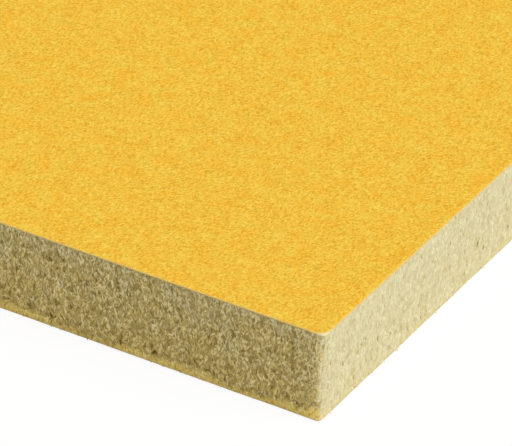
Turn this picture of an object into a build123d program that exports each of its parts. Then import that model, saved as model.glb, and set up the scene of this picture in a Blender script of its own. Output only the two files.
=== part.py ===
from build123d import *
import os

# Stone wool acoustic panel with a painted fleece bonded over its front.
# Millimetres, +Z up. The panel lies on its rear face with the painted front upwards, and the origin is
# at the middle of the rear face.

# Driving dimensions
panel_length = 600.0  # along X
panel_width = 600.0  # along Y
panel_thickness = 20.0  # wool and fleece together
fleece_thickness = 0.3  # painted facing, without the wool
corner_radius = 1.0  # upright corners, rubbed a little round
rear_arris_radius = 0.8  # rear edges of the wool, softened by the saw and by handling

# Sizes that follow from them
wool_thickness = panel_thickness - fleece_thickness


def panel_outline():
    """Plan outline, shared by the wool and the fleece because they are sawn to size together."""
    return RectangleRounded(panel_length, panel_width, corner_radius)


def wool_core():
    """Slab of bonded stone wool: square under the fleece, softened all round its rear edge."""
    slab = extrude(panel_outline(), wool_thickness)
    rear_face = slab.faces().sort_by(Axis.Z)[0]
    return fillet(rear_face.edges(), rear_arris_radius)


def face_fleece():
    """Painted fleece, laid over the whole front of the wool and cut flush with its edges."""
    return Pos(0, 0, wool_thickness) * extrude(panel_outline(), fleece_thickness)


pieces = {"wool_core": wool_core(), "face_fleece": face_fleece()}

os.makedirs("parts", exist_ok=True)
for node, solid in pieces.items():
    export_step(solid, f"parts/{node}.step")
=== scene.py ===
# %% [markdown]
# # Stone wool acoustic panel
# The real panel is a square slab of bonded stone wool with a painted fleece glued over its front. The
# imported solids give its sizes. This lesson dresses them: a slab with sawn edges, a felt of short wool
# strands standing on those edges, and the painted fleece with its pale cut rim.

# %% Frame and sizes
import math
import bmesh
import bpy
from mathutils import Matrix, Vector


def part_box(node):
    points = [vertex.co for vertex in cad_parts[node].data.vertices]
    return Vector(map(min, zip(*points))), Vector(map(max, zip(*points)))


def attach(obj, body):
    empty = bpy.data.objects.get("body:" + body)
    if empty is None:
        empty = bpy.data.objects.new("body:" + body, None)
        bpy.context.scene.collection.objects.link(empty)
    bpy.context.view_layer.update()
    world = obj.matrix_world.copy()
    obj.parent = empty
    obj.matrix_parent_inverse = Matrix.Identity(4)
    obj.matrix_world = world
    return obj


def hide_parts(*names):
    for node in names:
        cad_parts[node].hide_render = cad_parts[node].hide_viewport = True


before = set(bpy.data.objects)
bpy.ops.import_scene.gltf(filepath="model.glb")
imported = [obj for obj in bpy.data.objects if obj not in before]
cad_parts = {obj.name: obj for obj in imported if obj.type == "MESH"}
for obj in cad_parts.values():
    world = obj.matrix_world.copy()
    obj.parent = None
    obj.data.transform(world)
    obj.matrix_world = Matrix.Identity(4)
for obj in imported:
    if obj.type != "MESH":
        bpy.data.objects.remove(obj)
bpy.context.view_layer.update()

mm = 0.001
wool_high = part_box("wool_core")[1]
fleece_low, fleece_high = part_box("face_fleece")
half_length = wool_high.x  # along X
half_width = wool_high.y  # along Y
wool_top = wool_high.z
face_top = fleece_high.z
corner_radius = 1.0 * mm  # upright corners, as in the solids
arris_radius = 0.8 * mm  # rear edges, as in the solids
print(f"panel {2000 * half_length:.0f} x {2000 * half_width:.0f} x {1000 * face_top:.1f} mm")

# %% [markdown]
# ## Camera
# The photograph is a close view of one corner from above, with a long lens, because opposite edges stay
# nearly parallel. The camera is set by what can be measured there: its azimuth, elevation and roll, and
# the pixel and the distance at which it sees the near top corner of the panel.

# %% Camera
image_width, image_height = 512, 446
focal_length = 5000  # pixels
sensor_width = 36.0
azimuth = math.radians(29.03)
elevation = math.radians(31.89)
roll = math.radians(2.53)
corner_distance = 0.9406
corner_pixel = (324.4, 336.1)
near_corner = Vector((half_length, -half_width, face_top))

backward = Vector((math.sin(azimuth) * math.cos(elevation),
                   -math.cos(azimuth) * math.cos(elevation),
                   math.sin(elevation)))
rightward = Vector((math.cos(azimuth), math.sin(azimuth), 0))
upward = backward.cross(rightward)
turn = Matrix((rightward, upward, backward)).transposed() @ Matrix.Rotation(roll, 3, "Z")
corner_seen = Vector(((corner_pixel[0] - image_width / 2) / focal_length,
                      (image_height / 2 - corner_pixel[1]) / focal_length,
                      -1)) * corner_distance

camera = bpy.data.objects.new("camera", bpy.data.cameras.new("camera"))
camera.data.sensor_width = sensor_width
camera.data.lens = focal_length * sensor_width / image_width
camera.data.clip_start = 0.01
camera.location = near_corner - turn @ corner_seen
camera.rotation_euler = turn.to_euler()
bpy.context.collection.objects.link(camera)
bpy.context.scene.camera = camera
print(f"lens {camera.data.lens:.0f} mm, camera at {tuple(round(x, 3) for x in camera.location)}")

# %% [markdown]
# ## Two small helpers
# Colours are written as they look on a screen, as sRGB hex values, and turned to the linear values that
# the renderer works with. Every node, of a shader or of a geometry tree, is added by one function that
# takes its settings and what each of its inputs holds: a value, or the node or socket linked to it.

# %% Helpers for colours and nodes
def linear(hex_colour):
    """Linear RGBA of an sRGB hex colour."""
    parts = [int(hex_colour[i:i + 2], 16) / 255 for i in (1, 3, 5)]
    return [p / 12.92 if p <= 0.04045 else ((p + 0.055) / 1.055) ** 2.4 for p in parts] + [1]


def add(tree, kind, inputs=None, stops=None, **settings):
    """Adds a node with its settings, the colour stops of a ramp, and its inputs by name or number."""
    made = tree.nodes.new(kind)
    for name, value in settings.items():
        setattr(made, name, value)
    while stops and len(made.color_ramp.elements) < len(stops):
        made.color_ramp.elements.new(1.0)
    for element, position in zip(made.color_ramp.elements if stops else (), sorted(stops or ())):
        element.position = position
        element.color = linear(stops[position])
    for key, value in (inputs or {}).items():
        by_name = [s for s in made.inputs if s.enabled and s.name == key]
        socket = made.inputs[key] if isinstance(key, int) else by_name[0]
        if isinstance(value, bpy.types.Node):
            value = next(s for s in value.outputs if s.enabled)
        if isinstance(value, bpy.types.NodeSocket):
            tree.links.new(value, socket)
        else:
            socket.default_value = value
    return made

# %% [markdown]
# ## Studio
# The photograph is a cut-out on white, lit from the right. A wide sun stands for a large softbox there,
# and the world gives a warm fill from everywhere, so the front edge is dim and its strands are grazed by
# the light. The floor is pale grey to the light that bounces, and white to the camera, where part of it
# stays a plain diffuse surface that keeps the panel's shadow.

# %% Lights and world
key_from = Vector((0.70, -0.13, 0.74))
key_strength = 3.15
key_spread = math.radians(70)  # how wide the softbox looks from the panel
fill_strength = 0.26

key = bpy.data.objects.new("softbox", bpy.data.lights.new("softbox", "SUN"))
key.data.energy = key_strength
key.data.angle = key_spread
key.rotation_euler = (-key_from).to_track_quat("-Z", "Y").to_euler()
bpy.context.collection.objects.link(key)


def seen_directly(tree):
    """1 for what the camera sees, also in a mirror or through glass, and 0 for light that bounces."""
    ray = add(tree, "ShaderNodeLightPath").outputs
    seen = add(tree, "ShaderNodeMath", {0: ray["Is Camera Ray"], 1: ray["Is Glossy Ray"]},
               operation="MAXIMUM")
    return add(tree, "ShaderNodeMath", {0: seen, 1: ray["Is Transmission Ray"]}, operation="MAXIMUM")


world = bpy.data.worlds.new("studio")
bpy.context.scene.world = world
world.use_nodes = True
tree = world.node_tree
tree.nodes.clear()
fill = add(tree, "ShaderNodeBackground", {"Color": linear("#fff5e2"), "Strength": fill_strength})
white = add(tree, "ShaderNodeBackground", {"Color": linear("#ffffff"), "Strength": 1.0})
either = add(tree, "ShaderNodeMixShader", {0: seen_directly(tree), 1: fill, 2: white})
add(tree, "ShaderNodeOutputWorld", {"Surface": either})
bpy.context.scene.view_settings.view_transform = "Standard"
print(f"softbox {key_strength}, fill {fill_strength}")

# %% Floor
floor_half = 4.0
floor_drop = 0.05 * mm  # just under the panel, so that the two flat faces don't share a plane
white_share = 0.9  # of what the camera sees of the floor; the rest keeps the shadow


def new_material(name):
    made = bpy.data.materials.new(name)
    made.use_nodes = True
    made.node_tree.nodes.clear()
    return made, made.node_tree


paper, tree = new_material("backdrop_paper")
grey = add(tree, "ShaderNodeBsdfDiffuse", {"Color": linear("#dadada")})
shaded = add(tree, "ShaderNodeBsdfDiffuse", {"Color": linear("#ffffff")})
bright = add(tree, "ShaderNodeEmission", {"Color": linear("#ffffff"), "Strength": 1.0})
backdrop = add(tree, "ShaderNodeMixShader", {0: white_share, 1: shaded, 2: bright})
either = add(tree, "ShaderNodeMixShader", {0: seen_directly(tree), 1: grey, 2: backdrop})
add(tree, "ShaderNodeOutputMaterial", {"Surface": either})

floor_mesh = bpy.data.meshes.new("floor")
floor_mesh.from_pydata([(x * floor_half, y * floor_half, -floor_drop)
                        for x, y in ((-1, -1), (1, -1), (1, 1), (-1, 1))], [], [(0, 1, 2, 3)])
floor_mesh.materials.append(paper)
floor = bpy.data.objects.new("floor", floor_mesh)
bpy.context.collection.objects.link(floor)
print(f"floor {2 * floor_half:.0f} m across")

# %% [markdown]
# ## A rounded slab
# Both pieces are sawn to one outline, so one function makes them: loops of points round the outline, one
# for each step of the edge's section, joined by quads. The flat faces don't need such a fine pitch. Each
# is a coarse grid, zipped to the fine loop by triangles, which keeps the mesh closed and light.

# %% Slab mesh
arc_steps = 4
sharp_angle = math.radians(40)


def plan_outline(inset, pitch):
    """Points round the panel's outline, anticlockwise from above, set in by inset."""
    arc_x = half_length - corner_radius
    arc_y = half_width - corner_radius
    radius = corner_radius - inset
    corners = [(arc_x, -arc_y), (arc_x, arc_y), (-arc_x, arc_y), (-arc_x, -arc_y)]
    points = []
    for k, (x, y) in enumerate(corners):
        for j in range(arc_steps + 1):
            angle = math.radians(90 * (k - 1 + j / arc_steps))
            points.append((x + radius * math.cos(angle), y + radius * math.sin(angle)))
        start = Vector(points[-1])
        run = Vector(corners[(k + 1) % 4]) - Vector((x, y))
        steps = round(run.length / pitch)
        points += [tuple(start + run * j / steps) for j in range(1, steps)]
    return points


def angle_round(vert):
    return math.atan2(vert.co.y, vert.co.x) % math.tau


def zip_loops(mesh, outer, inner):
    """Fills the ring between two loops round the origin, whatever their numbers of points, by triangles."""
    outer = sorted(outer, key=angle_round)
    inner = sorted(inner, key=angle_round)
    i = j = 0
    while i < len(outer) or j < len(inner):
        a, a_next = outer[i % len(outer)], outer[(i + 1) % len(outer)]
        b, b_next = inner[j % len(inner)], inner[(j + 1) % len(inner)]
        a_angle = angle_round(a_next) + (math.tau if i + 1 >= len(outer) else 0)
        b_angle = angle_round(b_next) + (math.tau if j + 1 >= len(inner) else 0)
        if j >= len(inner) or (i < len(outer) and a_angle < b_angle):
            mesh.faces.new((a, a_next, b))
            i += 1
        else:
            mesh.faces.new((a, b_next, b))
            j += 1


def cap(mesh, loop, pitch):
    """Closes a loop of the slab with a grid of the given pitch, one pitch in from the edge."""
    z = loop[0].co.z
    columns = round(2 * half_length / pitch) - 1
    rows = round(2 * half_width / pitch) - 1
    grid = [[mesh.verts.new((-half_length + pitch * (i + 1), -half_width + pitch * (j + 1), z))
             for i in range(columns)] for j in range(rows)]
    for low, high in zip(grid, grid[1:]):
        for i in range(columns - 1):
            mesh.faces.new((low[i], low[i + 1], high[i + 1], high[i]))
    edge = [v for row in grid for v in row if v in (row[0], row[-1]) or row in (grid[0], grid[-1])]
    zip_loops(mesh, loop, edge)


def rounded_slab(name, section, pitch, rear_pitch, front_pitch):
    """A slab with the panel's outline. section lists the (inset, height) of each loop, rear first."""
    mesh = bmesh.new()
    loops = [[mesh.verts.new((x, y, z)) for x, y in plan_outline(inset, pitch)] for inset, z in section]
    for lower, upper in zip(loops, loops[1:]):
        for i, corner in enumerate(lower):
            mesh.faces.new((lower[i - 1], corner, upper[i], upper[i - 1]))
    cap(mesh, loops[0], rear_pitch)
    cap(mesh, loops[-1], front_pitch)
    bmesh.ops.recalc_face_normals(mesh, faces=mesh.faces)
    for face in mesh.faces:
        face.smooth = True
    for edge in mesh.edges:
        edge.smooth = edge.calc_face_angle() < sharp_angle
    made = bpy.data.objects.new(name, bpy.data.meshes.new(name))
    mesh.to_mesh(made.data)
    mesh.free()
    bpy.context.collection.objects.link(made)
    return made


def count_triangles(piece):
    """Prints and returns a piece's number of triangles."""
    piece.data.calc_loop_triangles()
    count = len(piece.data.loop_triangles)
    print(f"{piece.name}: {count} triangles")
    return count

# %% [markdown]
# ## Stone wool
# Stone wool is spun from molten rock into fibres a few thousandths of a millimetre thick, and it is
# coloured by the binder that glues them, from straw to olive; the dark olive between its tufts is painted
# shade. Single fibres are too fine to draw, so what shows is tufts of them, about half a millimetre wide.
# Edges sawn along the length of the mat look paler and closer than edges sawn across it, and the crust
# along the rear is more golden, because it holds more binder. The body's pattern is noise drawn out into
# upright and leaning strands, the brightest of three in front.

# %% Stone wool body material
strand_width = 0.42 * mm
strand_length = 1.0 * mm
strand_tilts = (-28, 0, 28)  # degrees
felt_depth = 0.25 * mm
close_fade = 0.8  # share of a golden or pale tint that an edge cut along the mat doesn't show
# Scuffed wool's golden tint is partly wear and partly painted light, for light that glows through the rubbed
# corner.
scuff_and_light_tint = 0.15  # how far scuffed wool turns golden, from 0 to 1

# Matt and fibrous: no gloss, pale strands over olive gaps, whose darkness is painted shade, and no two tufts
# quite the same colour.
wool, tree = new_material("stone_wool_body")
where = add(tree, "ShaderNodeTexCoord").outputs["Object"]
tangle = None
for tilt in strand_tilts:
    drawn_out = add(tree, "ShaderNodeMapping",
                    {"Vector": where, "Rotation": (math.radians(tilt), math.radians(tilt), 0),
                     "Scale": (strand_width, strand_width, strand_length)}, vector_type="TEXTURE")
    fibres = add(tree, "ShaderNodeTexNoise", {"Vector": drawn_out, "Scale": 1.0, "Detail": 1.0})
    tangle = fibres if tangle is None else add(tree, "ShaderNodeMath", {0: tangle, 1: fibres},
                                               operation="MAXIMUM")
crosscut = add(tree, "ShaderNodeValToRGB", {"Fac": tangle},
               stops={0.44: "#8f7d45", 0.56: "#b7a263", 0.75: "#d5c58d"})
lengthcut = add(tree, "ShaderNodeValToRGB", {"Fac": tangle},
                stops={0.42: "#bdb386", 0.56: "#cfc69c", 0.75: "#dad2ae"})
golden = add(tree, "ShaderNodeValToRGB", {"Fac": tangle},
             stops={0.44: "#c2a34a", 0.56: "#e1c76a", 0.75: "#ebd78e"})
lengthwise = add(tree, "ShaderNodeAttribute", attribute_name="lengthwise").outputs["Fac"]
crusted = add(tree, "ShaderNodeAttribute", attribute_name="crust").outputs["Fac"]
scuffed = add(tree, "ShaderNodeAttribute", attribute_name="scuffed").outputs["Fac"]
scuffed = add(tree, "ShaderNodeMath", {0: scuffed, 1: scuff_and_light_tint}, operation="MULTIPLY")
colour = add(tree, "ShaderNodeMix", {"Factor": lengthwise, "A": crosscut, "B": lengthcut}, data_type="RGBA")
crosswise = add(tree, "ShaderNodeMath", {0: lengthwise, 1: -close_fade, 2: 1.0}, operation="MULTIPLY_ADD")
crusted = add(tree, "ShaderNodeMath", {0: crusted, 1: crosswise}, operation="MULTIPLY")
colour = add(tree, "ShaderNodeMix", {"Factor": crusted, "A": colour, "B": golden}, data_type="RGBA")
colour = add(tree, "ShaderNodeMix", {"Factor": scuffed, "A": colour, "B": golden}, data_type="RGBA")
felt = add(tree, "ShaderNodeBump", {"Height": tangle, "Strength": 0.35, "Distance": felt_depth})
surface = add(tree, "ShaderNodeBsdfPrincipled", {"Base Color": colour, "Normal": felt, "Roughness": 0.95,
                                                 "Specular IOR Level": 0.1})
add(tree, "ShaderNodeOutputMaterial", {"Surface": surface})
print(f"{wool.name}: {len(tree.nodes)} nodes")

# %% Stone wool strand material
# Every strand has one tone, from an olive that paints the shade of the gaps to nearly white, and one warmth,
# from grey to golden.
strand, tree = new_material("stone_wool_strands")
tone = add(tree, "ShaderNodeAttribute", attribute_name="tone").outputs["Fac"]
warmth = add(tree, "ShaderNodeAttribute", attribute_name="warmth").outputs["Fac"]
cool = add(tree, "ShaderNodeValToRGB", {"Fac": tone},
           stops={0.0: "#645a34", 0.35: "#b5a66e", 0.7: "#ded5ab", 1.0: "#ebe4c6"})
warm = add(tree, "ShaderNodeValToRGB", {"Fac": tone},
           stops={0.0: "#6c5b26", 0.35: "#bca356", 0.7: "#e5ce80", 1.0: "#f2e09c"})
colour = add(tree, "ShaderNodeMix", {"Factor": warmth, "A": cool, "B": warm}, data_type="RGBA")
surface = add(tree, "ShaderNodeBsdfPrincipled", {"Base Color": colour, "Roughness": 0.9,
                                                 "Specular IOR Level": 0.15})
add(tree, "ShaderNodeOutputMaterial", {"Surface": surface})
print(f"{strand.name}: {len(tree.nodes)} nodes")

# %% [markdown]
# ## The wool body
# Sawing leaves the wool's edge covered in small tufts and pits, with a denser, smoother crust along the
# rear, where the wool was pressed against the belt when its binder was cured. The upright corners get
# rubbed round. A geometry tree moves the points of the edge in and out by noise of those sizes. It also
# stores, for the materials and for the strands, how much of the crust each point has and which way it
# was cut, with the two kinds of cut blended where the corners are rubbed.

# %% Trees and how they are applied
def new_tree(name, sizes):
    """A geometry tree with a named input for each size, and its input node."""
    made = bpy.data.node_groups.new(name, "GeometryNodeTree")
    made.interface.new_socket("Geometry", in_out="INPUT", socket_type="NodeSocketGeometry")
    made.interface.new_socket("Geometry", in_out="OUTPUT", socket_type="NodeSocketGeometry")
    for size, kind in sizes.items():
        made.interface.new_socket(size, in_out="INPUT", socket_type=f"NodeSocket{kind}")
    return made, add(made, "NodeGroupInput").outputs


def apply_tree(piece, tree, sizes):
    """Runs a tree on a piece and keeps the result as the piece's plain mesh."""
    modifier = piece.modifiers.new(tree.name, "NODES")
    modifier.node_group = tree
    for item in tree.interface.items_tree:
        if item.in_out == "INPUT" and item.name in sizes:
            modifier[item.identifier] = sizes[item.name]
    seen = piece.evaluated_get(bpy.context.evaluated_depsgraph_get())
    mesh = bpy.data.meshes.new_from_object(seen)
    piece.modifiers.remove(modifier)
    piece.data = mesh
    mesh.name = piece.name

# %% Relief tree, where each point is and looks
def inside_edges(tree, place):
    """How far a place lies in from the panel's edges, along X and along Y."""
    halves = (half_length, half_width, 0)
    span = add(tree, "ShaderNodeVectorMath", {0: place}, operation="ABSOLUTE")
    span = add(tree, "ShaderNodeVectorMath", {0: halves, 1: span}, operation="SUBTRACT")
    return add(tree, "ShaderNodeSeparateXYZ", {0: span}).outputs


relief, given = new_tree("saw_relief", {
    "Tuft": "Float", "Tuft Depth": "Float", "Wave": "Float", "Wave Depth": "Float", "Crust": "Float",
    "Crease": "Float", "Corner": "Float", "Corner Depth": "Float", "Top": "Float", "Held": "Float",
    "Material": "Material"})
place = add(relief, "GeometryNodeInputPosition")
height = add(relief, "ShaderNodeSeparateXYZ", {0: place}).outputs["Z"]
normal = add(relief, "GeometryNodeInputNormal")
level = add(relief, "ShaderNodeVectorMath", {0: normal, 1: (1, 1, 0)}, operation="MULTIPLY")
outward = add(relief, "ShaderNodeVectorMath", {0: level}, operation="NORMALIZE")
sideways = add(relief, "ShaderNodeVectorMath", {0: level}, operation="LENGTH")
inside = inside_edges(relief, place)
from_corner = add(relief, "ShaderNodeMath", {0: inside["X"], 1: inside["Y"]})

# %% Relief tree, tufts and waves
# Tufts stand taller than wide, so the noise is squeezed in height before it is read.
tuft_squeeze = 0.55
tuft_scale = add(relief, "ShaderNodeMath", {0: 1.0, 1: given["Tuft"]}, operation="DIVIDE")
squeezed = add(relief, "ShaderNodeVectorMath", {0: place, 1: (1, 1, tuft_squeeze)}, operation="MULTIPLY")
tuft = add(relief, "ShaderNodeTexNoise", {"Vector": squeezed, "Scale": tuft_scale, "Detail": 1.5})
tuft = add(relief, "ShaderNodeMapRange", {"Value": tuft, "From Min": 0.25, "From Max": 0.7,
                                          "To Min": -0.8, "To Max": 0.3})
tuft = add(relief, "ShaderNodeMath", {0: tuft, 1: given["Tuft Depth"]}, operation="MULTIPLY")
wave_scale = add(relief, "ShaderNodeMath", {0: 1.0, 1: given["Wave"]}, operation="DIVIDE")
wave = add(relief, "ShaderNodeTexNoise", {"Vector": place, "Scale": wave_scale, "Detail": 1.0})
wave = add(relief, "ShaderNodeMapRange", {"Value": wave, "From Min": 0.3, "From Max": 0.7,
                                          "To Min": -0.6, "To Max": 0.6})
wave = add(relief, "ShaderNodeMath", {0: wave, 1: given["Wave Depth"]}, operation="MULTIPLY")

# %% Relief tree, crust
# The crust's upper limit wanders up and down along the edge and climbs towards the corners. Where the
# crust is thick, the wool above it is pulled in to a crease, on the edges cut across the mat.
wander_size = 13 * mm
wander_seed = 242
crust_blur = 0.5 * mm
crease_width = 0.9 * mm
foot_width = 5 * mm  # from a corner, measured along both edges together
foot_height = 1.3 * mm  # how far the crust climbs there
along = add(relief, "ShaderNodeVectorMath", {0: place, 1: (1, 1, 0)}, operation="MULTIPLY")
wander = add(relief, "ShaderNodeTexNoise", {"Vector": along, "W": wander_seed, "Scale": 1 / wander_size,
                                            "Detail": 3.0}, noise_dimensions="4D")
wander = add(relief, "ShaderNodeMapRange", {"Value": wander, "From Min": 0.2, "From Max": 0.68})
foot = add(relief, "ShaderNodeMapRange", {"Value": from_corner, "From Max": foot_width,
                                          "To Min": foot_height, "To Max": 0.0})
limit = add(relief, "ShaderNodeMath", {0: wander, 1: given["Crust"], 2: foot}, operation="MULTIPLY_ADD")
above = add(relief, "ShaderNodeMath", {0: height, 1: limit}, operation="SUBTRACT")
crust = add(relief, "ShaderNodeMapRange", {"Value": above, "From Min": -crust_blur, "From Max": crust_blur,
                                           "To Min": 1.0, "To Max": 0.0}, interpolation_type="SMOOTHSTEP")
crease = add(relief, "ShaderNodeMath", {0: above, 1: crease_width, 2: crease_width / 2}, operation="COMPARE")
crease = add(relief, "ShaderNodeMath", {0: crease, 1: wander}, operation="MULTIPLY")
facing = add(relief, "ShaderNodeSeparateXYZ", {0: outward}).outputs
cut_across = add(relief, "ShaderNodeMath", {0: facing["Y"]}, operation="ABSOLUTE")
crease = add(relief, "ShaderNodeMath", {0: crease, 1: cut_across}, operation="MULTIPLY")

# %% Relief tree, corners
# Rubbing is worst at the upright corners and dies away along both edges, unevenly. The fleece above and
# the crust below protect the wool next to them.
fray_size = 1.6 * mm  # of the mottling
knock_size = 3.0 * mm  # of the dents
guarded_height = 2.5 * mm
rubbed_cut = 0.5  # how far a rubbed edge looks cut along the mat, from 0 to 1
middle_of_arc = (2 - math.sqrt(2)) * corner_radius  # measured as from_corner is
near = add(relief, "ShaderNodeMapRange", {"Value": from_corner, "From Min": middle_of_arc,
                                          "From Max": given["Corner"], "To Min": 1.0, "To Max": 0.0})
near = add(relief, "ShaderNodeMath", {0: near, 1: near}, operation="MULTIPLY")
below_top = add(relief, "ShaderNodeMath", {0: given["Top"], 1: height}, operation="SUBTRACT")
from_guard = add(relief, "ShaderNodeMath", {0: below_top, 1: height}, operation="MINIMUM")
unguarded = add(relief, "ShaderNodeMapRange", {"Value": from_guard, "From Max": guarded_height,
                                               "To Min": 0.2}, interpolation_type="SMOOTHSTEP")
rounding = add(relief, "ShaderNodeMath", {0: near, 1: unguarded}, operation="MULTIPLY")
knock = add(relief, "ShaderNodeTexNoise", {"Vector": place, "Scale": 1 / knock_size, "Detail": 1.0})
knock = add(relief, "ShaderNodeMapRange", {"Value": knock, "From Min": 0.3, "From Max": 0.7,
                                           "To Min": 0.75, "To Max": 1.25})
rounding = add(relief, "ShaderNodeMath", {0: rounding, 1: knock}, operation="MULTIPLY")
fray = add(relief, "ShaderNodeTexNoise", {"Vector": place, "Scale": 1 / fray_size, "Detail": 2.0})
fray = add(relief, "ShaderNodeMapRange", {"Value": fray, "From Min": 0.3, "From Max": 0.7,
                                          "To Min": 0.2, "To Max": 2.2})
rubbed = add(relief, "ShaderNodeMath", {0: near, 1: fray}, operation="MULTIPLY", use_clamp=True)

# %% Relief tree, kind of cut
# Edges cut along the mat, the crust and the rubbed corners are closer than edges cut across the mat. The
# fleece holds the wool next to it, which the saw leaves nearly flush. Where a corner is rubbed, its side
# that is cut across the mat counts as scuffed: worn, with fewer strands, and painted paler, as painted
# light reaching round the corner onto that dim edge.
tuft_loss = 0.85  # share of the tufts' depth that close wool lacks
held_share = 0.3  # of the relief that is left next to the fleece
cut = add(relief, "ShaderNodeMath", {0: facing["X"]}, operation="ABSOLUTE")
paler = add(relief, "ShaderNodeMath", {0: rubbed, 1: rubbed_cut}, operation="MULTIPLY")
cut = add(relief, "ShaderNodeMath", {0: cut, 1: paler}, operation="MAXIMUM")
closer = add(relief, "ShaderNodeMath", {0: cut, 1: crust}, operation="MAXIMUM")
closer = add(relief, "ShaderNodeMath", {0: closer, 1: near}, operation="MAXIMUM")
rougher = add(relief, "ShaderNodeMath", {0: closer, 1: -tuft_loss, 2: 1.0}, operation="MULTIPLY_ADD")
free = add(relief, "ShaderNodeMapRange", {"Value": below_top, "From Max": given["Held"],
                                          "To Min": held_share})
scuffed = add(relief, "ShaderNodeMath", {0: rubbed, 1: cut_across}, operation="MULTIPLY")

# %% Relief tree, result
inward = add(relief, "ShaderNodeMath", {0: crease, 1: given["Crease"]}, operation="MULTIPLY")
inward = add(relief, "ShaderNodeMath", {0: rounding, 1: given["Corner Depth"], 2: inward},
             operation="MULTIPLY_ADD")
sawn = add(relief, "ShaderNodeMath", {0: tuft, 1: rougher, 2: wave}, operation="MULTIPLY_ADD")
sawn = add(relief, "ShaderNodeMath", {0: sawn, 1: free}, operation="MULTIPLY")
sawn = add(relief, "ShaderNodeMath", {0: sawn, 1: inward}, operation="SUBTRACT")
sawn = add(relief, "ShaderNodeMath", {0: sawn, 1: sideways}, operation="MULTIPLY")
offset = add(relief, "ShaderNodeVectorMath", {0: outward, "Scale": sawn}, operation="SCALE")
body = given["Geometry"]
for name, value in (("crust", crust), ("crease", crease), ("rubbed", rubbed), ("scuffed", scuffed),
                    ("lengthwise", cut)):
    body = add(relief, "GeometryNodeStoreNamedAttribute", {"Geometry": body, "Name": name, "Value": value})
body = add(relief, "GeometryNodeStoreNamedAttribute",
           {"Geometry": body, "Name": "bearing", "Value": outward}, data_type="FLOAT_VECTOR")
body = add(relief, "GeometryNodeSetPosition", {"Geometry": body, "Offset": offset})
body = add(relief, "GeometryNodeRealizeInstances", {"Geometry": body})
body = add(relief, "GeometryNodeSetMaterial", {"Geometry": body, "Material": given["Material"]})
add(relief, "NodeGroupOutput", {"Geometry": body})
print(f"{relief.name}: {len(relief.nodes)} nodes")

# %% Wool body
edge_pitch = 1.0 * mm
ring_pitch = 0.7 * mm
rear_grid = 12 * mm
hidden_grid = 30 * mm
arris = [(arris_radius * (1 - math.sin(t)), arris_radius * (1 - math.cos(t)))
         for t in (math.radians(30 * k) for k in range(4))]
ring_count = round((wool_top - arris_radius) / ring_pitch)
rings = [(0, arris_radius + (wool_top - arris_radius) * k / ring_count) for k in range(1, ring_count + 1)]
wool_body = rounded_slab("wool_body", arris + rings, edge_pitch, rear_grid, hidden_grid)
apply_tree(wool_body, relief, {
    "Tuft": 1.4 * mm, "Tuft Depth": 0.6 * mm, "Wave": 14 * mm, "Wave Depth": 0.2 * mm, "Crust": 2.5 * mm,
    "Crease": 0.3 * mm, "Corner": 2.2 * mm, "Corner Depth": 0.5 * mm, "Top": wool_top, "Held": 1.5 * mm,
    "Material": wool})
total = count_triangles(wool_body)

# %% [markdown]
# ## Strands on the sawn edges
# Each sawn edge is a felt of short tufts, mostly upright, leaning a little and lit one by one. Hair
# would not survive an export, so a tree scatters small closed slivers on the edge: four triangles each,
# with their own length, thickness, lean, tone and warmth. Neighbours lean and look alike, because noise
# is added to each draw. The tree also lays a map on which every sliver sits at its own tone and warmth,
# so that one small picture holds the colours of them all. There is one piece for each edge.

# %% Strand tree, draws
strands, given = new_tree("sawn_strands", {
    "Sliver": "Object", "Density": "Float", "Length": "Float", "Thickness": "Float", "Depth": "Float",
    "Lift": "Float", "Spread": "Float", "Lean": "Float", "Spin": "Float", "Low": "Float",
    "High": "Float", "Crosscut Tone": "Float", "Lengthcut Tone": "Float", "Contrast": "Float",
    "Patch": "Float", "Specks": "Float", "Loose": "Float", "Warmth": "Float", "Softness": "Float",
    "Seed": "Int", "Material": "Material"})
seed_step = 10.0  # between the draws, and more than there are edges, so that no two share a seed
draw = {}
for number, name in enumerate(("swing", "more swing", "lean", "length", "thickness", "lift", "spin", "tone",
                               "speck", "warmth", "loose")):
    stream = add(strands, "ShaderNodeMath", {0: given["Seed"], 1: seed_step * number})
    draw[name] = add(strands, "FunctionNodeRandomValue", {"Min": -1.0, "Max": 1.0, "Seed": stream})

# %% Strand tree, places
# Far fewer strands stand on the crust, and somewhat fewer on scuffed wool.
loose_height = 1.2 * mm
crust, crease, rubbed, scuffed, lengthwise = [
    add(strands, "GeometryNodeInputNamedAttribute", {"Name": name})
    for name in ("crust", "crease", "rubbed", "scuffed", "lengthwise")]
bare = add(strands, "ShaderNodeMapRange", {"Value": crust, "To Min": 1.0, "To Max": 0.15})
worn = add(strands, "ShaderNodeMapRange", {"Value": scuffed, "To Min": 1.0, "To Max": 0.75})
density = add(strands, "ShaderNodeMath", {0: bare, 1: given["Density"]}, operation="MULTIPLY")
density = add(strands, "ShaderNodeMath", {0: density, 1: worn}, operation="MULTIPLY")
scattered = add(strands, "GeometryNodeDistributePointsOnFaces",
                {"Mesh": given["Geometry"], "Density": density, "Seed": given["Seed"]})
points = scattered.outputs["Points"]

# A few strands along the rear hang loose, and stick out longer and thicker than the rest.
spot = add(strands, "GeometryNodeInputPosition")
spot_parts = add(strands, "ShaderNodeSeparateXYZ", {0: spot}).outputs
low_down = add(strands, "ShaderNodeMath", {0: spot_parts["Z"], 1: loose_height}, operation="LESS_THAN")
loose = add(strands, "ShaderNodeMapRange", {"Value": draw["loose"], "From Min": -1.0})
loose = add(strands, "ShaderNodeMath", {0: loose, 1: given["Loose"]}, operation="LESS_THAN")
loose = add(strands, "ShaderNodeMath", {0: loose, 1: low_down}, operation="MULTIPLY")

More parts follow.
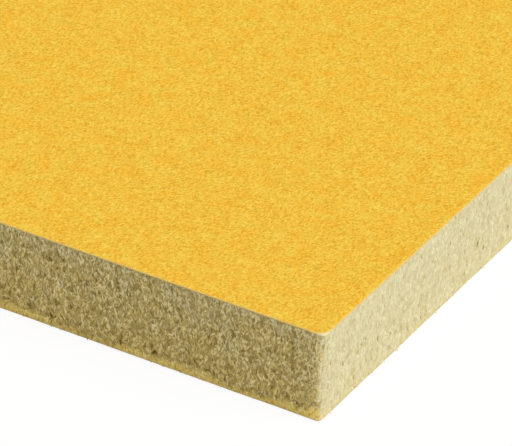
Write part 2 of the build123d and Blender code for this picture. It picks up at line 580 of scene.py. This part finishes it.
# %% Strand tree, sizes
length_range = 0.45  # either way, as a share of the mean
thickness_range = 0.35
speck_gain = 0.7  # in thickness, as a share
loose_gain = 0.9
loose_stretch = 1.25  # of a loose strand's length, over the mean
length = add(strands, "ShaderNodeMath", {0: draw["length"], 1: length_range, 2: 1.0},
             operation="MULTIPLY_ADD")
speck = add(strands, "ShaderNodeMapRange", {"Value": draw["speck"], "From Min": -1.0})
speck = add(strands, "ShaderNodeMath", {0: speck, 1: given["Specks"]}, operation="LESS_THAN")
length = add(strands, "ShaderNodeMath", {0: length, 1: given["Length"]}, operation="MULTIPLY")
thickness = add(strands, "ShaderNodeMath", {0: draw["thickness"], 1: thickness_range, 2: 1.0},
                operation="MULTIPLY_ADD")
thickness = add(strands, "ShaderNodeMath", {0: thickness, 1: given["Thickness"]}, operation="MULTIPLY")
wider = add(strands, "ShaderNodeMath", {0: speck, 1: speck_gain, 2: 1.0}, operation="MULTIPLY_ADD")
wider = add(strands, "ShaderNodeMath", {0: loose, 1: loose_gain, 2: wider}, operation="MULTIPLY_ADD")
thickness = add(strands, "ShaderNodeMath", {0: thickness, 1: wider}, operation="MULTIPLY")

# A strand near the top or the rear is cut short to stay inside the sawn face, and each is lifted a
# little off the body, less so where the corner is rubbed.
shortest = 0.4 * mm
loose_rise = 0.25 * mm  # keeps the loose ones off the ground
above_low = add(strands, "ShaderNodeMath", {0: spot_parts["Z"], 1: given["Low"]}, operation="SUBTRACT")
below_high = add(strands, "ShaderNodeMath", {0: given["High"], 1: spot_parts["Z"]}, operation="SUBTRACT")
room = add(strands, "ShaderNodeMath", {0: above_low, 1: below_high}, operation="MINIMUM")
room = add(strands, "ShaderNodeMath", {0: room, 1: 2.0}, operation="MULTIPLY")
room = add(strands, "ShaderNodeMath", {0: room, 1: shortest}, operation="MAXIMUM")
length = add(strands, "ShaderNodeMath", {0: length, 1: room}, operation="MINIMUM")
reach = add(strands, "ShaderNodeMath", {0: length, 1: 0.5}, operation="MULTIPLY")
reach = add(strands, "ShaderNodeMath", {0: loose, 1: loose_rise, 2: reach}, operation="MULTIPLY_ADD")
loose_length = add(strands, "ShaderNodeMath", {0: given["Length"], 1: loose_stretch}, operation="MULTIPLY")
length = add(strands, "ShaderNodeMix", {"Factor": loose, "A": length, "B": loose_length})
lowest = add(strands, "ShaderNodeMath", {0: given["Low"], 1: reach})
highest = add(strands, "ShaderNodeMath", {0: given["High"], 1: reach}, operation="SUBTRACT")
kept = add(strands, "ShaderNodeClamp", {"Value": spot_parts["Z"], "Min": lowest, "Max": highest})
lifted = add(strands, "ShaderNodeCombineXYZ", {"X": spot_parts["X"], "Y": spot_parts["Y"], "Z": kept})
lift = add(strands, "ShaderNodeMath", {0: draw["lift"], 1: 0.5, 2: 0.5}, operation="MULTIPLY_ADD")
lift = add(strands, "ShaderNodeMath", {0: lift, 1: speck}, operation="MAXIMUM")
lift = add(strands, "ShaderNodeMath", {0: lift, 1: given["Lift"]}, operation="MULTIPLY")
rough = add(strands, "ShaderNodeMapRange", {"Value": rubbed, "To Min": 1.0, "To Max": 0.3})
lift = add(strands, "ShaderNodeMath", {0: lift, 1: rough}, operation="MULTIPLY")
lift = add(strands, "ShaderNodeVectorMath", {0: scattered.outputs["Normal"], "Scale": lift},
           operation="SCALE")
points = add(strands, "GeometryNodeSetPosition", {"Geometry": points, "Position": lifted, "Offset": lift})

# %% Strand tree, directions
# Two draws added give angles that are mostly small, with a few large ones, and noise combs neighbours
# the same way.
comb_size = 1.8 * mm
loose_lean = math.radians(-68)  # lower tip outwards
comb = add(strands, "ShaderNodeTexNoise", {"Vector": spot, "Scale": 1 / comb_size, "Detail": 1.0})
comb = add(strands, "ShaderNodeMapRange", {"Value": comb, "From Min": 0.25, "From Max": 0.75,
                                           "To Min": -1.0, "To Max": 1.0})
swing = add(strands, "ShaderNodeMath", {0: draw["swing"], 1: draw["more swing"]})
swing = add(strands, "ShaderNodeMath", {0: swing, 1: comb})
swing = add(strands, "ShaderNodeMath", {0: swing, 1: given["Spread"]}, operation="MULTIPLY")
lean = add(strands, "ShaderNodeMath", {0: draw["lean"], 1: given["Lean"]}, operation="MULTIPLY")
lean = add(strands, "ShaderNodeMix", {"Factor": loose, "A": lean, "B": loose_lean})
spin = add(strands, "ShaderNodeMath", {0: draw["spin"], 1: given["Spin"]}, operation="MULTIPLY")
bearing = add(strands, "GeometryNodeInputNamedAttribute", {"Name": "bearing"}, data_type="FLOAT_VECTOR")
bearing_parts = add(strands, "ShaderNodeSeparateXYZ", {0: bearing}).outputs
yaw = add(strands, "ShaderNodeMath", {0: bearing_parts["Y"], 1: bearing_parts["X"]}, operation="ARCTAN2")
yaw = add(strands, "ShaderNodeMath", {0: yaw, 1: math.pi / 2})
aim = add(strands, "ShaderNodeCombineXYZ", {"X": lean, "Y": swing, "Z": yaw})
aim = add(strands, "FunctionNodeEulerToRotation", {0: aim})
spin = add(strands, "FunctionNodeEulerToRotation", {0: add(strands, "ShaderNodeCombineXYZ", {"Z": spin})})
aim = add(strands, "FunctionNodeRotateRotation", {"Rotation": aim, "Rotate By": spin},
          rotation_space="LOCAL")

# %% Strand tree, tone
# Strands deep in the felt are painted darker than those that stand out of it, and whole tufts darker than
# others, as painted shade in the gaps of the felt. Stained patches look darker than others, and the crease
# above the crust is painted darkest, as painted shade in it. Wool is a little paler towards the top. Next to
# the fleece it is painted paler still, as painted light that lifts the fleece's shade, and scuffed wool is
# painted paler, as painted light reaching round the rubbed corner onto the dim edge, besides its wear. A few
# strands are dark specks.
held_band = 2.0 * mm
stain_size = 6 * mm
own_contrast = 0.08  # share that a strand's own draws have in the contrast
stain_contrast = 0.6
stain = add(strands, "ShaderNodeTexNoise", {"Vector": spot, "Scale": 1 / stain_size, "Detail": 2.0})
stain = add(strands, "ShaderNodeMapRange", {"Value": stain, "From Min": 0.3, "From Max": 0.7,
                                            "To Min": -0.25, "To Max": 0.25})
# Strands next to the fleece are painted paler: painted light that lifts the fleece's shade on the wool.
under_fleece = add(strands, "ShaderNodeMapRange", {"Value": below_high, "From Max": held_band,
                                                   "To Min": 1.0, "To Max": 0.0})
crosswise = add(strands, "ShaderNodeMath", {0: lengthwise, 1: -close_fade, 2: 1.0},
                operation="MULTIPLY_ADD")
under_fleece = add(strands, "ShaderNodeMath", {0: under_fleece, 1: crosswise}, operation="MULTIPLY")
patch_scale = add(strands, "ShaderNodeMath", {0: 1.0, 1: given["Patch"]}, operation="DIVIDE")
patch = add(strands, "ShaderNodeTexNoise", {"Vector": spot, "Scale": patch_scale, "Detail": 1.0})
patch = add(strands, "ShaderNodeMapRange", {"Value": patch, "From Min": 0.3, "From Max": 0.7,
                                            "To Min": -1.9, "To Max": 1.35})
# The lift draw makes deep strands darker and the patch noise darkens whole tufts: painted shade of the felt.
varied = add(strands, "ShaderNodeMath", {0: draw["lift"], 1: draw["tone"]})
varied = add(strands, "ShaderNodeMath", {0: varied, 1: own_contrast, 2: patch}, operation="MULTIPLY_ADD")
varied = add(strands, "ShaderNodeMath", {0: stain, 1: -stain_contrast, 2: varied}, operation="MULTIPLY_ADD")
tone = add(strands, "ShaderNodeMix", {"Factor": lengthwise, "A": given["Crosscut Tone"],
                                      "B": given["Lengthcut Tone"]})
rise = add(strands, "ShaderNodeMath", {0: spot_parts["Z"], 1: given["High"]}, operation="DIVIDE")
# The crease's shift darkens the strands in the crease: painted shade.
tone_shifts = ((rise, 0.05), (crease, -0.25), (under_fleece, 0.2), (rubbed, -0.1), (scuffed, 0.25),
               (crust, 0.06), (speck, -0.33), (loose, 0.15))
for cause, shift in tone_shifts:
    tone = add(strands, "ShaderNodeMath", {0: cause, 1: shift, 2: tone}, operation="MULTIPLY_ADD")
varied = add(strands, "ShaderNodeMath", {0: varied, 1: rough}, operation="MULTIPLY")
tone = add(strands, "ShaderNodeMath", {0: varied, 1: given["Contrast"], 2: tone},
           operation="MULTIPLY_ADD", use_clamp=True)

# %% Strand tree, warmth
# There is more binder in stained patches, towards the rear and in the crust, and less next to the fleece
# and on loose strands. Scuffed strands turn greyer, along with the paler tone painted on them as light
# reaching round the corner.
own_warmth = 0.08  # either way, from a strand's own draw
warmth = add(strands, "ShaderNodeMath", {0: draw["warmth"], 1: own_warmth, 2: given["Warmth"]},
             operation="MULTIPLY_ADD")
warmth = add(strands, "ShaderNodeMath", {0: warmth, 1: stain})
tinted = add(strands, "ShaderNodeMath", {0: crust, 1: crosswise}, operation="MULTIPLY")
warmth_shifts = ((rise, -0.4), (under_fleece, -0.25), (scuffed, -0.25), (tinted, 0.7), (loose, -0.6))
for cause, shift in warmth_shifts:
    warmth = add(strands, "ShaderNodeMath", {0: cause, 1: shift, 2: warmth}, operation="MULTIPLY_ADD")
warmth = add(strands, "ShaderNodeClamp", {"Value": warmth})

# %% Strand tree, result
# A sliver's own normals are bent towards the way its edge looks, so that it is lit like part of the felt.
swatch_size = 0.012  # of the map, so that a sliver covers a few pixels of it
size = add(strands, "ShaderNodeCombineXYZ", {"X": thickness, "Y": given["Depth"], "Z": length})
shape = add(strands, "GeometryNodeObjectInfo", {"Object": given["Sliver"]}).outputs["Geometry"]
lit_from = add(strands, "ShaderNodeMix", {"Factor": loose, "A": scattered.outputs["Normal"], "B": bearing},
               data_type="VECTOR")
tufts = add(strands, "GeometryNodeInstanceOnPoints",
            {"Points": points, "Instance": shape, "Rotation": aim, "Scale": size})
for name, value, kind in (("tone", tone, "FLOAT"), ("warmth", warmth, "FLOAT"),
                          ("outward", lit_from, "FLOAT_VECTOR")):
    tufts = add(strands, "GeometryNodeStoreNamedAttribute",
                {"Geometry": tufts, "Name": name, "Value": value}, data_type=kind, domain="INSTANCE")
tufts = add(strands, "GeometryNodeRealizeInstances", {"Geometry": tufts})
own = add(strands, "GeometryNodeInputNormal")
outward = add(strands, "GeometryNodeInputNamedAttribute", {"Name": "outward"}, data_type="FLOAT_VECTOR")
soft = add(strands, "ShaderNodeMix", {"Factor": given["Softness"], "A": own, "B": outward},
           data_type="VECTOR")
tufts = add(strands, "GeometryNodeSetMeshNormal", {"Mesh": tufts, "Custom Normal": soft}, mode="FREE",
            domain="CORNER")
stored_tone, stored_warmth = [add(strands, "GeometryNodeInputNamedAttribute", {"Name": name})
                              for name in ("tone", "warmth")]
spread_out = add(strands, "GeometryNodeInputNamedAttribute", {"Name": "OFBake"}, data_type="FLOAT_VECTOR")
swatch = add(strands, "ShaderNodeCombineXYZ", {"X": stored_tone, "Y": stored_warmth})
swatch = add(strands, "ShaderNodeVectorMath",
             {0: swatch, 1: (1 - swatch_size, 1 - swatch_size, 0), 2: spread_out}, operation="MULTIPLY_ADD")
tufts = add(strands, "GeometryNodeStoreNamedAttribute",
            {"Geometry": tufts, "Name": "OFBake", "Value": swatch}, data_type="FLOAT2", domain="CORNER")
tufts = add(strands, "GeometryNodeSetMaterial", {"Geometry": tufts, "Material": given["Material"]})
add(strands, "NodeGroupOutput", {"Geometry": tufts})
print(f"{strands.name}: {len(strands.nodes)} nodes")

# %% Sliver
# A splinter of four triangles: a ridge between two tips, and two sides that slope from it into the wool,
# so that it shows no underside.
sliver_mesh = bpy.data.meshes.new("sliver")
sliver_mesh.from_pydata([(0, 0, -0.5), (0, 0, 0.5), (0.5, 1, 0), (-0.5, 1, 0)], [],
                        [(0, 2, 1), (0, 1, 3), (0, 3, 2), (1, 2, 3)])
sliver_map = sliver_mesh.uv_layers.new(name="OFBake")
swatch_corners = ((0, 0), (swatch_size, 0), (0, swatch_size))
for corner, point in enumerate(sliver_map.uv):
    point.vector = swatch_corners[corner % 3]
sliver = bpy.data.objects.new("sliver", sliver_mesh)
bpy.context.collection.objects.link(sliver)
print(f"sliver: {len(sliver_mesh.polygons)} triangles")

# %% Strand pieces
shared_angle = math.radians(50)  # past half a right angle, so that two edges share the corner between them
flat_normal = 0.9  # upright share past which a face belongs to the front or the rear


def edge_patch(name, outward):
    """A new piece with the faces of the wool body that look towards outward."""
    mesh = bmesh.new()
    mesh.from_mesh(wool_body.data)
    limit = math.cos(shared_angle)
    hidden = [f for f in mesh.faces if abs(f.normal.z) > flat_normal
              or Vector((f.normal.x, f.normal.y)).normalized().dot(outward) < limit]
    bmesh.ops.delete(mesh, geom=hidden, context="FACES")
    made = bpy.data.objects.new(name, bpy.data.meshes.new(name))
    mesh.to_mesh(made.data)
    mesh.free()
    bpy.context.collection.objects.link(made)
    return made


across_the_mat = {"Density": 4.1 / mm ** 2, "Length": 1.1 * mm, "Thickness": 0.52 * mm, "Depth": 0.22 * mm,
                  "Lift": 0.22 * mm, "Spread": math.radians(28), "Lean": math.radians(10),
                  "Spin": math.radians(20), "Contrast": 0.37, "Patch": 1.0 * mm, "Specks": 0.0,
                  "Loose": 0.03, "Warmth": 1.05, "Softness": 0.97}
along_the_mat = {"Density": 4.2 / mm ** 2, "Length": 1.2 * mm, "Thickness": 0.44 * mm, "Depth": 0.1 * mm,
                 "Lift": 0.08 * mm, "Spread": math.radians(15), "Lean": math.radians(2),
                 "Spin": math.radians(6), "Contrast": 0.12, "Patch": 1.35 * mm, "Specks": 0.005,
                 "Loose": 0.05, "Warmth": 0.15, "Softness": 0.85}
lowest_tip = 0.3 * mm
highest_tip = wool_top + 0.15 * mm  # just over the lower edge of the fleece
strand_pieces = []
for number, side in enumerate(("front", "right", "back", "left")):
    yaw = math.radians(90 * number)
    piece = edge_patch(f"{side}_edge_strands", Vector((math.sin(yaw), -math.cos(yaw))))
    cut = across_the_mat if number % 2 == 0 else along_the_mat
    apply_tree(piece, strands, cut | {
        "Sliver": sliver, "Low": lowest_tip, "High": highest_tip, "Crosscut Tone": 0.79,
        "Lengthcut Tone": 0.638, "Seed": number + 1, "Material": strand})
    strand_pieces.append(piece)
    total += count_triangles(piece)
bpy.data.objects.remove(sliver)

# %% [markdown]
# ## The painted fleece
# The front is a thin glass fleece, glued to the wool and painted. The paint covers its fibres without
# hiding them, and the saw leaves a pale, slightly worn rim where the paint ends. The sheet follows the
# panel's outline and rounds over at its rim. Its fibres are too fine and too many for a mesh, so they are
# noise drawn out in three directions, which colours the paint and bumps it.

# %% Fleece mesh
rim_radius = 0.1 * mm
under_chamfer = 0.05 * mm
rim_strip = 0.8 * mm  # fine strip of the face along its rim
face_grid = 10 * mm
fleece_section = [(under_chamfer, fleece_low.z), (0, fleece_low.z + under_chamfer)]
fleece_section += [(rim_radius * (1 - math.cos(t)), face_top - rim_radius * (1 - math.sin(t)))
                   for t in (math.radians(30 * k) for k in range(4))]
fleece_section += [(rim_strip, face_top)]
face = rounded_slab("painted_face", fleece_section, edge_pitch, hidden_grid, face_grid)
total += count_triangles(face)
print(f"in all: {total} triangles")

# %% Painted fleece colours
fibre_width = 0.3 * mm  # a bundle of fibres, because single ones are too fine to show
fibre_length = 0.75 * mm
fibre_turns = (22, 62, 102)  # degrees
fibre_relief = 0.2 * mm
paint_patch = 4.0 * mm

# Matt wall paint over a mat of glass fibres: an even colour with a faint grain and no shine, a little
# more orange where the paint lies thick and more lemon where it is thin.
painted, tree = new_material("painted_glass_fleece")
where = add(tree, "ShaderNodeTexCoord").outputs["Object"]
mat = None
for angle in fibre_turns:
    drawn_out = add(tree, "ShaderNodeMapping",
                    {"Vector": where, "Rotation": (0, 0, math.radians(angle)),
                     "Scale": (fibre_length, fibre_width, fibre_width)}, vector_type="TEXTURE")
    fibres = add(tree, "ShaderNodeTexNoise", {"Vector": drawn_out, "Scale": 1.0, "Detail": 1.0})
    mat = fibres if mat is None else add(tree, "ShaderNodeMath", {0: mat, 1: fibres}, operation="ADD")
mat = add(tree, "ShaderNodeMath", {0: mat, 1: 1 / len(fibre_turns)}, operation="MULTIPLY")
thick = add(tree, "ShaderNodeValToRGB", {"Fac": mat},
            stops={0.36: "#da9c1d", 0.5: "#f5bd38", 0.64: "#ffd451"})
thin = add(tree, "ShaderNodeValToRGB", {"Fac": mat},
           stops={0.36: "#d7a629", 0.5: "#f1c642", 0.64: "#fdde61"})
spread = add(tree, "ShaderNodeTexNoise", {"Vector": where, "Scale": 1 / paint_patch, "Detail": 2.0})
spread = add(tree, "ShaderNodeMapRange", {"Value": spread, "From Min": 0.35, "From Max": 0.65})
paint = add(tree, "ShaderNodeMix", {"Factor": spread, "A": thick, "B": thin}, data_type="RGBA")
grain = add(tree, "ShaderNodeBump", {"Height": mat, "Strength": 0.9, "Distance": fibre_relief})

# %% Painted fleece rim
# The paint stops at the rim, and a little further in at the corners, which get knocked. The bare glass
# is palest at their tips.
rim_wear = 0.15 * mm  # mean width of the bare rim
rim_blur = 0.2 * mm  # over which the paint thins out
rim_notch = 0.6 * mm  # size of the nicks along the rim
corner_wear = 1.5 * mm  # bare at the corners, measured along both edges together
inside = inside_edges(tree, where)
from_edge = add(tree, "ShaderNodeMath", {0: inside["X"], 1: inside["Y"]}, operation="MINIMUM")
from_corner = add(tree, "ShaderNodeMath", {0: inside["X"], 1: inside["Y"]})
from_corner = add(tree, "ShaderNodeMath", {0: from_corner, 1: corner_wear}, operation="SUBTRACT")
from_rim = add(tree, "ShaderNodeMath", {0: from_edge, 1: from_corner}, operation="MINIMUM")
ragged = add(tree, "ShaderNodeTexNoise", {"Vector": where, "Scale": 1 / rim_notch, "Detail": 2.0})
ragged = add(tree, "ShaderNodeMapRange", {"Value": ragged, "From Min": 0.3, "From Max": 0.7,
                                          "To Min": 0.2 * rim_wear, "To Max": 1.8 * rim_wear})
from_rim = add(tree, "ShaderNodeMath", {0: from_rim, 1: ragged}, operation="SUBTRACT")
covered = add(tree, "ShaderNodeMapRange", {"Value": from_rim, "From Min": -rim_blur, "From Max": rim_blur})
tip = add(tree, "ShaderNodeMapRange", {"Value": from_corner, "From Max": corner_wear, "To Min": 1.0,
                                       "To Max": 0.0})
glass = add(tree, "ShaderNodeMix", {"Factor": tip, "A": linear("#d8c07a"), "B": linear("#e9daab")},
            data_type="RGBA")
coat = add(tree, "ShaderNodeMix", {"Factor": covered, "A": glass, "B": paint}, data_type="RGBA")
surface = add(tree, "ShaderNodeBsdfPrincipled", {"Base Color": coat, "Normal": grain, "Roughness": 0.8,
                                                 "Specular IOR Level": 0.2})
add(tree, "ShaderNodeOutputMaterial", {"Surface": surface})
face.data.materials.append(painted)
print(f"{painted.name}: {len(tree.nodes)} nodes")

# %% [markdown]
# ## The panel's body
# Every piece rides on the panel's only body, and the solids that the wool body and the face take
# the place of are hidden.

# %% Frame calls
for piece in [wool_body] + strand_pieces:
    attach(piece, "root")
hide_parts("wool_core")
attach(face, "root")
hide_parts("face_fleece")
